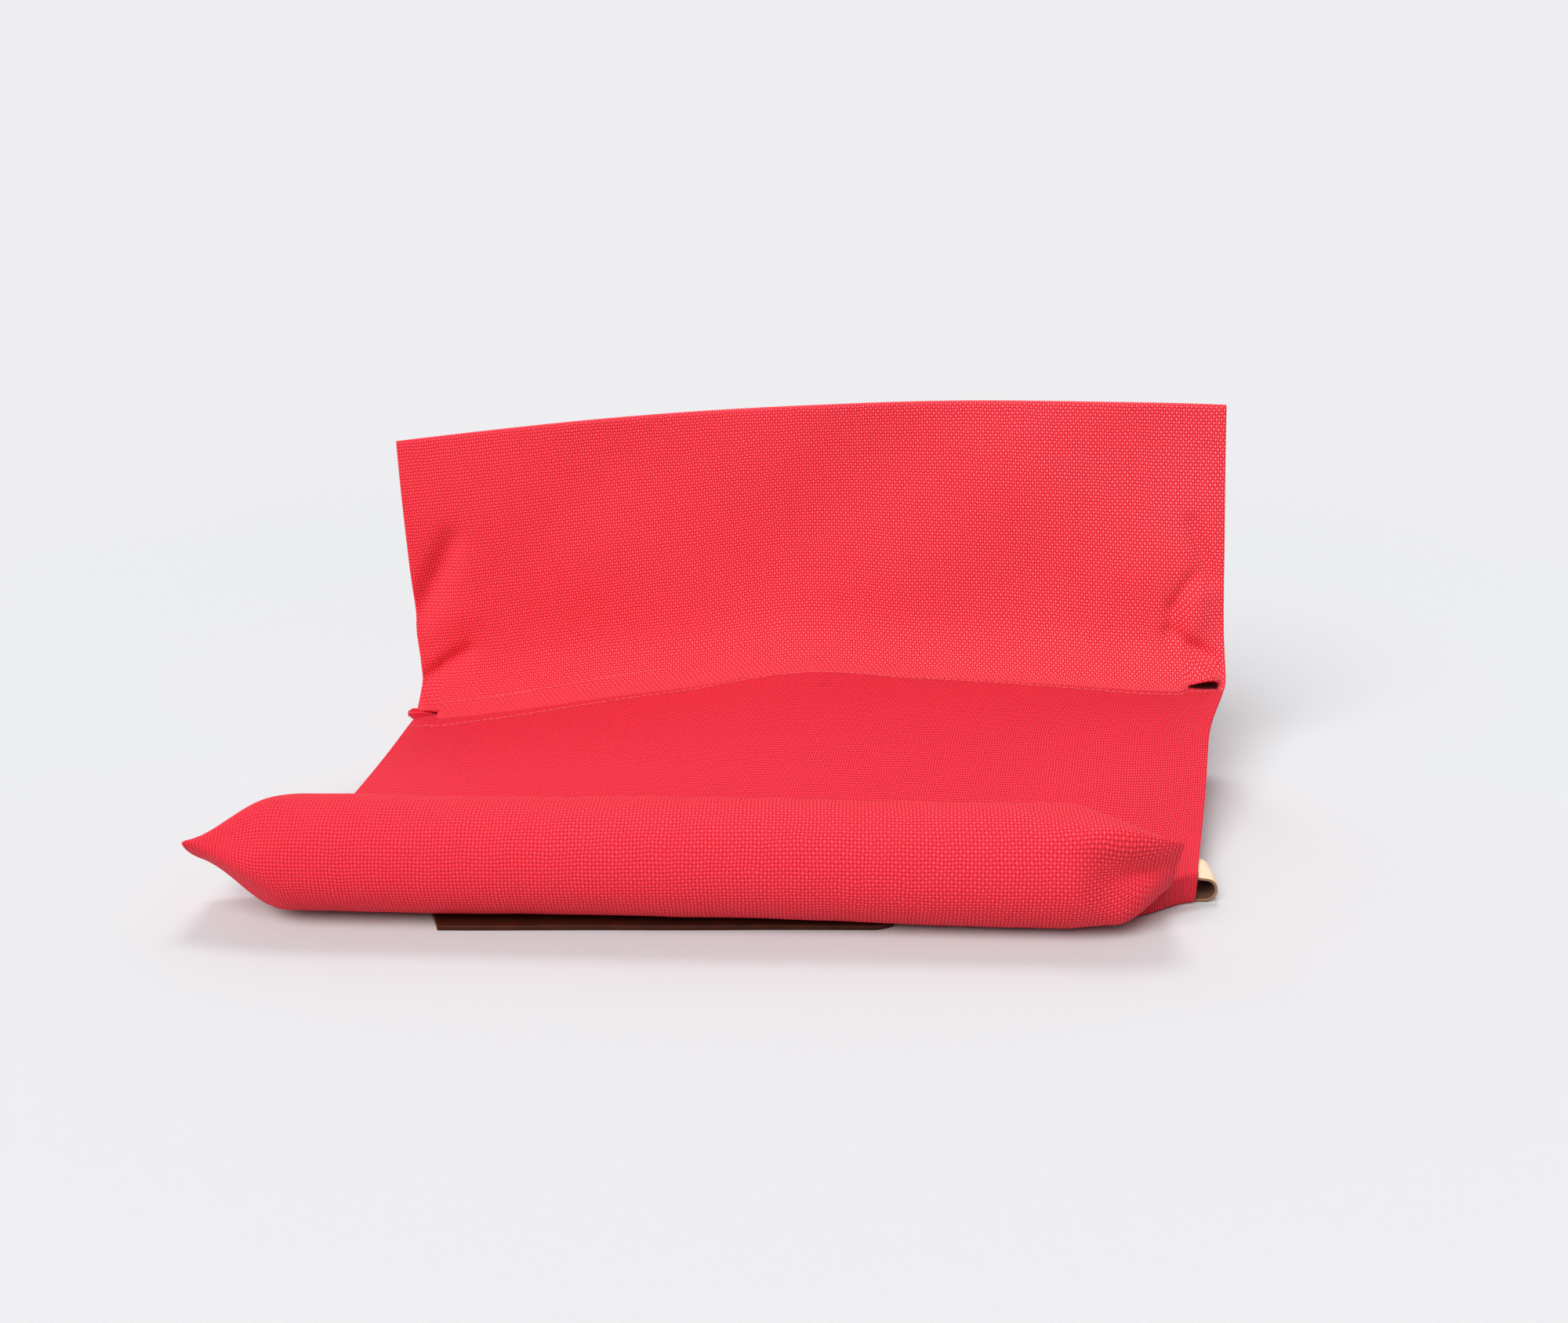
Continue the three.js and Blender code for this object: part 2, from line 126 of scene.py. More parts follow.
def soft(u, v, seed, wave, height):
    """Gentle unevenness of stuffed cloth, u and v in millimetres."""
    random = np.random.RandomState(seed)
    total = np.zeros(np.broadcast(u, v).shape)
    for _ in range(7):
        angle, phase = random.uniform(0, 2 * math.pi, 2)
        length = wave * random.uniform(0.7, 1.6)
        along = u * math.cos(angle) + v * math.sin(angle)
        total += np.sin(2 * math.pi * along / length + phase)
    return total * height / 2.6


def fold(u, v, start, end, width, height):
    """A ridge, or with a negative height a groove, along a line from start to end."""
    a, b = np.array(start, float), np.array(end, float)
    d = b - a
    t = ((u - a[0]) * d[0] + (v - a[1]) * d[1]) / (d @ d)
    away = np.hypot(u - a[0] - np.clip(t, 0, 1) * d[0], v - a[1] - np.clip(t, 0, 1) * d[1])
    return height * np.exp(-((away / width) ** 2)) * (0.35 + 0.65 * bump(t, 0.5, 0.9))


# ---- shapes shared by the base and the flap ----
TILT = math.atan2(CREASE_Z[1] - CREASE_Z[0], CREASE_WIDTH)


def arch(s):
    return CREASE_ARCH * np.sin(np.pi * np.clip(s, 0, 1)) ** 1.5 + CREASE_PEAK * bump(s, 0.485, 0.15)


def crease_z(s):
    return mix(CREASE_Z[0], CREASE_Z[1], s) + arch(s)


def slit(s):
    """How far the crease gapes: an eye near the right end and a smaller one at the left, 1 at the widest."""
    eye = smooth(s, 0.946, 0.983) * (1 - smooth(s, 0.985, 0.995))
    return 1.7 * eye + 0.9 * bump(s, 0.012, 0.022) ** 0.8


def base_depth(s):
    return BASE_DEPTH + 5.5 * smooth(s, 0.86, 1) + 15 * bump(s, 0.9, 0.1)


def base_x(s, t):
    right = 4.2 * (1 - smooth(t, 0, 0.35)) - 0.9 * smooth(t, 0.5, 1)
    return s * (CREASE_WIDTH + right - BASE_TAPER * t) - BASE_SHEAR * t


def base_top(s, t):
    front = mix(BASE_FRONT_Z[0], BASE_FRONT_Z[1], s)
    fall = mix((1 - t) ** 1.3, 1 - smooth(t, 0.05, 0.9), s * s)
    z = front + (crease_z(s) - front) * fall
    return z + soft(s * CREASE_WIDTH, t * BASE_DEPTH, 3, 70, 0.35) * smooth(t, 0.03, 0.2)


def flap_frame(along, v, y):
    """A point of the flap's own plane, which is tilted as the crease is."""
    x = along * math.cos(TILT) - v * math.sin(TILT)
    z = CREASE_Z[0] + along * math.sin(TILT) + v * math.cos(TILT)
    return np.stack(np.broadcast_arrays(x, y, z), axis=-1)


def flap_along(s, v):
    """Distance along the crease: the flap is a little narrower just above it and wider at its top."""
    left = 1.0 * bump(v, 12, 16)
    right = CREASE_WIDTH / math.cos(TILT) + 4.3 + 0.6 * smooth(v, 0, 6)
    return mix(left, right, s)


def flap_dents(s, v):
    """Creases and slack of the flap's front cloth, positive towards the back."""
    x = s * (CREASE_WIDTH + 3)
    edge = CREASE_WIDTH
    dents = fold(x, v, (16, 58), (2, 32), 4.6, 3.6) + fold(x, v, (18, 19), (1, 9), 3.0, 3.4)
    dents += fold(x, v, (edge - 8, 54), (edge - 1, 34), 2.6, 2.6)
    dents += fold(x, v, (edge - 7, 36), (edge - 14, 25), 2.4, 2.4)
    dents += fold(x, v, (edge - 14, 25), (edge - 14, 16), 2.4, 2.2)
    dents += fold(x, v, (edge - 16, 16), (edge, 6), 2.8, 3.6)
    dents -= fold(x, v, (edge - 6, 30), (edge - 8, 15), 5.0, 2.6)
    dents -= fold(x, v, (8, 30), (20, 32), 6, 1.4)
    dents += fold(x, v, (70, 80), (35, 45), 14, 1.0) + fold(x, v, (165, 85), (120, 40), 18, 0.9)
    dents += soft(x, v, 11, 75, 1.0) * smooth(v, 6, 40)
    return dents


def front_y(s, u):
    """Y of the flap's front surface at height u above the lip."""
    v = arch(s) + u
    sweep = FOOT_SWEEP * (1 - np.exp(-np.maximum(u, 0) / FOOT_HEIGHT))
    return LIP_Y + sweep + FLAP_LEAN * v + flap_dents(s, v)


# ---- mesh building ----
class Cloth:
    """Collects grid patches into one mesh, with UVs in millimetres along the threads."""

    def __init__(self):
        self.points, self.faces, self.uvs, self.slots, self.count = [], [], [], [], 0

    def patch(self, points, uv, slot=0):
        rows, columns = points.shape[:2]
        for j in range(rows - 1):
            for i in range(columns - 1):
                corners = [(j, i), (j, i + 1), (j + 1, i + 1), (j + 1, i)]
                self.faces.append([self.count + a * columns + b for a, b in corners])
                self.uvs.extend(uv[a, b] for a, b in corners)
                self.slots.append(slot)
        self.points.append(points.reshape(-1, 3))
        self.count += rows * columns

    def build(self, name, materials, weld=0.02, levels=1):
        mesh = bpy.data.meshes.new(name)
        mesh.from_pydata(to_row(np.vstack(self.points)).tolist(), [], self.faces)
        layer = mesh.uv_layers.new(name="threads")
        layer.data.foreach_set("uv", np.array(self.uvs, float).ravel())
        mesh.polygons.foreach_set("material_index", self.slots)
        bm = bmesh.new()
        bm.from_mesh(mesh)
        bmesh.ops.remove_doubles(bm, verts=bm.verts, dist=weld * MM)
        bmesh.ops.dissolve_degenerate(bm, edges=bm.edges, dist=0.001 * MM)
        bmesh.ops.recalc_face_normals(bm, faces=bm.faces)
        bm.to_mesh(mesh)
        bm.free()
        mesh.polygons.foreach_set("use_smooth", [True] * len(mesh.polygons))
        for material in materials:
            mesh.materials.append(material)
        made = bpy.data.objects.new(name, mesh)
        bpy.context.scene.collection.objects.link(made)
        if levels:
            modifier = made.modifiers.new("round", "SUBSURF")
            modifier.levels = modifier.render_levels = levels
            bpy.context.view_layer.objects.active = made
            bpy.ops.object.modifier_apply(modifier=modifier.name)
        return made


def uv_of(u, v):
    return np.stack(np.broadcast_arrays(u, v), axis=-1)


# ---- materials ----
class Nodes:
    """Short names for building a material's nodes."""

    def __init__(self, name):
        self.material = bpy.data.materials.new(name)
        self.material.use_nodes = True
        self.tree = self.material.node_tree
        self.shader = self.tree.nodes["Principled BSDF"]

    def put(self, socket, value):
        if isinstance(value, bpy.types.NodeSocket):
            self.tree.links.new(value, socket)
        else:
            socket.default_value = value

    def math(self, operation, a, b=0.0, c=0.0, clamp=False):
        node = self.tree.nodes.new("ShaderNodeMath")
        node.operation, node.use_clamp = operation, clamp
        for socket, value in zip(node.inputs, (a, b, c)):
            self.put(socket, value)
        return node.outputs[0]

    def mix(self, factor, a, b, blend="MIX"):
        node = self.tree.nodes.new("ShaderNodeMix")
        node.data_type, node.blend_type = "RGBA", blend
        for socket, value in zip((node.inputs[0], node.inputs[6], node.inputs[7]), (factor, a, b)):
            self.put(socket, value)
        return node.outputs[2]

    def noise(self, vector, scale, detail=3.0, roughness=0.5):
        node = self.tree.nodes.new("ShaderNodeTexNoise")
        self.put(node.inputs["Vector"], vector)
        node.inputs["Scale"].default_value = scale
        node.inputs["Detail"].default_value = detail
        node.inputs["Roughness"].default_value = roughness
        return node.outputs["Fac"]

    def combine(self, x, y, z=0.0):
        node = self.tree.nodes.new("ShaderNodeCombineXYZ")
        for socket, value in zip(node.inputs, (x, y, z)):
            self.put(socket, value)
        return node.outputs[0]

    def bump(self, height, strength, distance_mm):
        node = self.tree.nodes.new("ShaderNodeBump")
        node.inputs["Strength"].default_value = strength
        node.inputs["Distance"].default_value = distance_mm * MM
        self.put(node.inputs["Height"], height)
        self.tree.links.new(node.outputs[0], self.shader.inputs["Normal"])

    def set(self, **values):
        for name, value in values.items():
            self.put(self.shader.inputs[name.replace("_", " ")], value)


def canvas(name, thread, shade, hole, painted_highlight=0.25, sheen=0.25, open_weave=1.5, warp_pitch=WARP_PITCH):
    """Plain-woven canvas: warp and weft floats in turn, with small dark holes at the thread crossings.

    The highlight share paints the raised threads paler, a painted highlight that grows towards the right, and
    open_weave is the size of the holes.
    """
    n = Nodes(name)
    coordinates = n.tree.nodes.new("ShaderNodeUVMap")
    coordinates.uv_map = "threads"
    split = n.tree.nodes.new("ShaderNodeSeparateXYZ")
    n.put(split.inputs[0], coordinates.outputs[0])
    wander = n.noise(coordinates.outputs[0], 0.12, 2.0)
    u = n.math("ADD", split.outputs[0], n.math("MULTIPLY", wander, 1.2))
    v = n.math("ADD", split.outputs[1], n.math("MULTIPLY", wander, 1.2))
    across = n.math("SINE", n.math("MULTIPLY", u, math.pi / warp_pitch))
    along = n.math("SINE", n.math("MULTIPLY", v, math.pi / WEFT_PITCH))
    over = n.math("GREATER_THAN", n.math("MULTIPLY", across, along), 0.0)
    a, b = n.math("ABSOLUTE", across), n.math("ABSOLUTE", along)
    warp = n.math("MULTIPLY", a, n.math("POWER", b, 0.4))
    weft = n.math("MULTIPLY", b, n.math("POWER", a, 0.4))
    under = n.math("SUBTRACT", 1.0, over)
    height = n.math("ADD", n.math("MULTIPLY", over, warp), n.math("MULTIPLY", under, weft))
    gap = n.math("MULTIPLY", n.math("SUBTRACT", 1.0, a), n.math("SUBTRACT", 1.0, b))
    gap = n.math("MULTIPLY", n.math("POWER", gap, 0.85), open_weave, clamp=True)
    thread_index = n.combine(
        n.math("FLOOR", n.math("DIVIDE", u, warp_pitch)), n.math("FLOOR", n.math("DIVIDE", v, 14.0))
    )
    slub = n.noise(thread_index, 0.73, 1.0)
    tone = n.math("ADD", n.math("MULTIPLY", height, 0.75), n.math("MULTIPLY", slub, 0.35), clamp=True)
    colour = n.mix(tone, shade, thread)
    # Painted highlight: raised warp threads painted paler pink, more so towards the right, where light
    # glances off them.
    highlight_share = n.math("MULTIPLY_ADD", split.outputs[0], painted_highlight / 230, 0.35 * painted_highlight, clamp=True)
    light = n.math("MULTIPLY", n.math("MULTIPLY", over, n.math("POWER", height, 2.0)), highlight_share)
    colour = n.mix(light, colour, (1.0, 0.36, 0.36, 1))
    colour = n.mix(gap, colour, hole)
    patchy = n.noise(coordinates.outputs[0], 0.035, 3.0)
    colour = n.mix(n.math("MULTIPLY", patchy, 0.25), colour, shade)
    n.set(Base_Color=colour, Sheen_Weight=sheen, Sheen_Roughness=0.45, Sheen_Tint=(1.0, 0.7, 0.7, 1))
    n.set(Specular_IOR_Level=0.25)
    n.set(Roughness=n.math("SUBTRACT", 0.92, n.math("MULTIPLY", height, 0.22)))
    fuzz = n.noise(coordinates.outputs[0], 3.5, 2.0)
    n.bump(n.math("ADD", height, n.math("MULTIPLY", fuzz, 0.25)), 0.55, 0.3)
    return n.material


def leather(name, colour, dark, grain_mm=0.5, roughness=0.5, depth=0.08, shine=0.4):
    n = Nodes(name)
    place = n.tree.nodes.new("ShaderNodeNewGeometry").outputs["Position"]
    cells = n.tree.nodes.new("ShaderNodeTexVoronoi")
    cells.inputs["Scale"].default_value = 1 / (grain_mm * MM * 2)
    n.put(cells.inputs["Vector"], place)
    cloudy = n.noise(place, 180.0, 5.0)
    fine = n.noise(place, 2600.0, 3.0)
    worn = n.math("MULTIPLY_ADD", cloudy, 1.6, -0.35, clamp=True)
    n.set(Base_Color=n.mix(worn, dark, colour), Specular_IOR_Level=shine)
    n.set(Roughness=n.math("ADD", roughness - 0.1, n.math("MULTIPLY", fine, 0.25)))
    n.bump(n.math("ADD", cells.outputs["Distance"], n.math("MULTIPLY", fine, 0.5)), 0.5, depth)
    return n.material


def thread_material(name, colour, dark):
    n = Nodes(name)
    place = n.tree.nodes.new("ShaderNodeNewGeometry").outputs["Position"]
    wave = n.tree.nodes.new("ShaderNodeTexWave")
    wave.bands_direction = "DIAGONAL"
    wave.inputs["Scale"].default_value = 900.0
    n.put(wave.inputs["Vector"], place)
    n.set(Base_Color=n.mix(wave.outputs["Fac"], dark, colour), Roughness=0.7, Sheen_Weight=0.2)
    n.bump(wave.outputs["Fac"], 0.4, 0.08)
    return n.material


def metal(name, colour):
    n = Nodes(name)
    place = n.tree.nodes.new("ShaderNodeNewGeometry").outputs["Position"]
    scuffs = n.noise(place, 1500.0, 6.0)
    n.set(Base_Color=n.mix(scuffs, tuple(c * 0.7 for c in colour[:3]) + (1,), colour), Metallic=1.0)
    n.set(Roughness=n.math("MULTIPLY_ADD", scuffs, 0.3, 0.2))
    n.bump(scuffs, 0.15, 0.05)
    return n.material


RED = (0.96, 0.036, 0.062, 1)
RED_SHADE = (0.88, 0.018, 0.038, 1)
RED_HOLE = (0.24, 0.003, 0.012, 1)
# The base's and the bolster's reds are darker copies of the flap's red: painted shade on the base's top and
# on the bolster, which are the same canvas.
BASE_SHADED_RED = (0.88, 0.027, 0.056, 1)
BASE_SHADE = (0.74, 0.013, 0.034, 1)
ROLL_SHADED_RED = (0.86, 0.027, 0.052, 1)
ROLL_SHADE = (0.72, 0.013, 0.031, 1)
# Painted shadow: a near-black red cloth for the inside of the crease's gaping ends, where shade falls.
CREASE_SHADOW_RED = (0.16, 0.006, 0.012, 1)
CREASE_SHADE = (0.07, 0.003, 0.006, 1)
CREASE_SHADOW_HOLE = (0.02, 0.001, 0.002, 1)
flap_canvas = canvas("flap_canvas", RED, RED_SHADE, RED_HOLE, painted_highlight=0.42, sheen=0.12)
base_canvas = canvas("base_canvas", BASE_SHADED_RED, BASE_SHADE, RED_HOLE, painted_highlight=0.06, sheen=0.03, open_weave=2.4)
crease_shadow_canvas = canvas("crease_shadow_canvas", CREASE_SHADOW_RED, CREASE_SHADE, CREASE_SHADOW_HOLE, painted_highlight=0.0, sheen=0.0)
bolster_canvas = canvas(
    "bolster_canvas", ROLL_SHADED_RED, ROLL_SHADE, RED_HOLE, painted_highlight=0.13, sheen=0.02, open_weave=1.3, warp_pitch=1.0
)
# The strap's dark brown is partly its own colour and partly painted shade, darkened to how it looks in the
# shadow under the bolster.
brown_leather = leather("brown_leather", (0.07, 0.014, 0.006, 1), (0.03, 0.007, 0.003, 1), shine=0.15)
tan_leather = leather("tan_leather", (0.92, 0.7, 0.49, 1), (0.8, 0.55, 0.36, 1), depth=0.03)
cut_leather = leather("cut_leather", (0.36, 0.2, 0.12, 1), (0.2, 0.1, 0.055, 1), 0.25, 0.8, 0.15)
flesh_leather = leather("flesh_leather", (0.16, 0.075, 0.04, 1), (0.08, 0.035, 0.02, 1), 0.25, 0.85, 0.15)
pink_thread = thread_material("pink_thread", (0.92, 0.15, 0.19, 1), (0.75, 0.07, 0.1, 1))
brass = metal("brass", (0.69, 0.5, 0.22, 1))


# ---- canvas body: the base cushion and the flap, cut from one cloth that runs through the crease ----
# Slot 2 is the crease's painted shadow cloth.
BASE_CLOTH, CREASE_SHADOW_CLOTH = 1, 2  # material slots of canvas_body; the flap's cloth is 0
LIP_T = -LIP_Y / BASE_DEPTH
SLIT_ROWS = (  # forward or back, and up, at the widest gape: floor of the gap, its roof, and the rolled lip
    (0.0, -1.0),
    (0.8, -1.5),
    (1.8, -1.2),
    (1.8, 0.2),
    (0.6, 0.9),
    (-0.6, 1.1),
    (-1.1, 1.7),
    (-0.7, 2.5),
)


def right_undercut(t):
    return UNDERCUT * (1 - smooth(t, 0.955, 1))


def base_point(s, t, w):
    """w runs down the walls, 0 at the top edge and 1 at the ground."""
    swell = 1.2 * np.sin(np.pi * w)
    left = base_x(0, t) + UNDERCUT * w - swell
    right = base_x(1, t) - right_undercut(t) * w + swell * (1 - smooth(t, 0.8, 0.9))
    z = base_top(s, t) * (1 - w)
    reach = FRONT_LIP * smooth(t, 0.85, 1) * (1 - smooth(s, 0.7, 0.86)) * (1 - w) ** 2
    return np.stack(np.broadcast_arrays(mix(left, right, s), -base_depth(s) * t - reach, z), axis=-1)


def meeting_drop(s):
    """How far the base's top lies below the crease line where the flap's front cloth runs into it."""
    return crease_z(s) - base_top(s, LIP_T)


def flap_point(s, u, y):
    """A point of the flap at height u above the crease's crown, brought down on to the base near u = 0."""
    v = arch(s) + u - meeting_drop(s) * np.exp(-np.maximum(u, 0) / 4.0)
    return flap_frame(flap_along(s, v), v, y)


def crease_row(s, share, back, up):
    """One row of cloth in the crease. Where the crease gapes it is moved back and up."""
    gape = slit(s)
    row = mix(base_point(s, LIP_T, 0.0), flap_point(s, 0.0, LIP_Y), share / LIP_SPAN)
    row[:, 1] += back * gape
    row[:, 2] += share * LIP_SPAN + up * gape
    return row


class Sheet:
    """The front cloth as rows of points: from the base's front edge up to the joint and on up the flap."""

    def __init__(self, s_line, points, joint):
        self.s_line, self.points, self.joint = s_line, points, joint

    def on(self, s, row):
        """Points at shares s of the width and at row, which may fall between two rows."""
        low = np.clip(np.floor(row).astype(int), 0, len(self.points) - 2)
        part = (row - low)[:, None]
        ends = []
        for step in (0, 1):
            columns = [
                [np.interp(share, self.s_line, self.points[j, :, k]) for k in range(3)]
                for share, j in zip(s, low + step)
            ]
            ends.append(np.array(columns))
        return ends[0] * (1 - part) + ends[1] * part

    def at_depth(self, s, t):
        """Points on the base at shares s of the width and t of the depth."""
        return self.on(s, self.joint * (1 - t) / (1 - LIP_T))


def relaxed(sheet, joint, gape):
    """Eases the bend where the flap's foot runs into the base, but leaves the gaping ends alone."""
    rows = np.arange(len(sheet))
    near = bump(rows, joint + 4, 16)
    hold = np.clip(near[:, None] * (1 - np.clip(gape * 4, 0, 1)[None, :]), 0, 1)[:, :, None]
    for _ in range(60):
        middle = (sheet[:-2] + sheet[2:]) / 2
        sheet[1:-1] += 0.5 * hold[1:-1] * (middle - sheet[1:-1])
    return sheet


def flap_rows(s_line):
    """Rows of the flap from its foot up: the front cloth, the top edge and the rear cloth."""
    low = np.concatenate([[0.9, 1.6], 2.6 + 1.4 * np.arange(12)])
    top = FLAP_HEIGHT + FLAP_BOW * np.sin(np.pi * s_line) - arch(s_line)
    heights = list(low) + [mix(low[-1], top, share) for share in np.linspace(0, 1, 44)[1:]]
    lift = 2.2 * slit(s_line)
    thick = FLAP_THICK[0] + FLAP_THICK[1] * (1 - np.abs(2 * s_line - 1) ** 14)
    front, rear = [], []
    for u in heights:
        y = front_y(s_line, u)
        raised = (lift * np.exp(-u / 2.6))[:, None] * np.array([0, -0.3, 1])
        front.append(flap_point(s_line, u, y) + raised)
        rear.append(flap_point(s_line, u, y + thick + 0.6 * np.exp(-u / 5)))
    crown_y = front_y(s_line, top)
    crown = [
        flap_point(s_line, top + 0.5, crown_y + 0.45),
        flap_point(s_line, top + 0.5, crown_y + thick - 0.45),
    ]
    return front, crown, rear


def paint_crease_shadow(cloth, first_face, gape):
    """Paints shadow inside the crease's gaping ends: their faces get the near-black crease cloth."""
    faces_per_row = len(gape) - 1
    for j in range(1, 5):
        for i in range(faces_per_row):
            if min(gape[i], gape[i + 1]) > 0.12:
                cloth.slots[first_face + j * faces_per_row + i] = CREASE_SHADOW_CLOTH


def canvas_body():
    """The wedge base and the flap as one closed cloth. Returns the object and its front sheet."""
    cloth = Cloth()
    even = np.linspace(0, 1, 151)
    s_line = mix(even, 0.5 - 0.5 * np.cos(np.pi * even), 0.55)
    t_line = np.linspace(LIP_T, 1, 47)
    w_line = np.linspace(0, 1, 6)
    s, t = np.meshgrid(s_line, t_line)
    width = s_line * (CREASE_WIDTH + 3)
    cloth.patch(base_point(s, t, 1.0), uv_of(s * CREASE_WIDTH, t * BASE_DEPTH), slot=BASE_CLOTH)

    crease = [crease_row(s_line, 0.1 * k, *row) for k, row in enumerate(SLIT_ROWS)]
    front, crown, rear = flap_rows(s_line)
    rear_foot = flap_point(s_line, 0.2, 1.3)
    base_rows = list(base_point(s, t, 0.0)[::-1])
    gape = slit(s_line)
    sheet = relaxed(np.array(base_rows + crease + front), len(base_rows), gape)
    joint = len(base_rows) - 1
    cloth.patch(sheet[: joint + 1], uv_of(s * CREASE_WIDTH, -t[::-1] * BASE_DEPTH), slot=BASE_CLOTH)
    crease, front = list(sheet[joint : -len(front)]), list(sheet[-len(front) :])
    profile = np.array(crease + front + crown + rear[::-1] + [rear_foot])
    step = np.linalg.norm(np.diff(profile, axis=0), axis=2).mean(1)
    length = np.concatenate([[0], np.cumsum(step)])
    first_face = len(cloth.slots)
    cloth.patch(profile, uv_of(width[None, :], length[:, None]))
    paint_crease_shadow(cloth, first_face, gape)

    across = np.array([[0.0], [1.0]])  # the two edges of a narrow strip
    s, w = np.meshgrid(s_line, w_line)
    cloth.patch(base_point(s, 1.0, w), uv_of(s * CREASE_WIDTH, w * 20), slot=BASE_CLOTH)
    ground = base_point(s_line, LIP_T, 1.0)
    rear_ground = ground + np.array([0, -LIP_Y + 0.8, 0])
    wall = np.array([mix(rear_foot, rear_ground, w) for w in w_line])
    cloth.patch(wall, uv_of(width[None, :], 30 * w_line[:, None]), slot=BASE_CLOTH)
    cloth.patch(np.array([ground, rear_ground]), uv_of(width[None, :], 3.3 * across), slot=BASE_CLOTH)

    first, last = len(crease), len(crease) + len(front)
    t, w = np.meshgrid(t_line, w_line)
    for side, column in ((0.0, 0), (1.0, -1)):
        gusset = base_point(side, t, w)
        settled = sheet[: joint + 1, column][::-1] - gusset[0]
        gusset = gusset + settled[None, :, :] * (1 - w)[:, :, None]
        cloth.patch(gusset, uv_of(t * BASE_DEPTH, w * 14), slot=BASE_CLOTH)
        corner = np.array([gusset[:, 0], wall[:, column]])
        cloth.patch(corner, uv_of(w_line[None, :] * 14, 3.3 * across), slot=BASE_CLOTH)

        foot = rear_foot[column]
        rear_edge = np.vstack([foot, np.array(rear)[:, column]])
        edge = np.array([profile[first - 1 : last, column], rear_edge])
        cloth.patch(edge, uv_of(np.arange(edge.shape[1])[None, :] * 1.5, 1.6 * across))
        strip = profile[:first, column]
        strip = np.array([strip, np.repeat(foot[None], len(strip), axis=0)])
        cloth.patch(strip, uv_of(np.arange(first)[None, :] * 0.2, 1.6 * across))
        front_corner = [profile[last - 1, column], crown[0][column]]
        rear_corner = [rear[-1][column], crown[1][column]]
        cloth.patch(np.array([front_corner, rear_corner]), uv_of(np.arange(2)[None, :] * 0.5, 1.6 * across))
    made = cloth.build("canvas_body", [flap_canvas, base_canvas, crease_shadow_canvas])
    return made, Sheet(s_line, sheet, joint)


def tuck_body():
    """The rolled end of the tuck in the crease, which stands out a little at the left."""
    cloth = Cloth()
    k = np.linspace(0, 1, 40)
    angle = np.linspace(0, 2 * np.pi, 17)
    radius = 1.9 * np.clip(k / 0.1, 0.35, 1) ** 0.5 * (1 - 0.85 * smooth(k, 0.15, 1))
    x = mix(-2.3, 10.0, k)
    s = np.clip(x / CREASE_WIDTH, 0, 1)
    y = LIP_Y + 0.2 + 0.9 * smooth(k, 0.2, 1) + radius[None, :] * np.cos(angle)[:, None]
    middle = base_top(s, LIP_T) + 0.7 * (1 - smooth(k, 0.1, 1)) - 0.9 * smooth(k, 0.3, 1)
    z = middle[None, :] + radius[None, :] * np.sin(angle)[:, None]
    points = np.stack(np.broadcast_arrays(x[None, :], y, z), axis=-1)
    cloth.patch(points, uv_of(x[None, :], angle[:, None] * 1.2))
    return cloth.build("crease_tuck", [base_canvas])


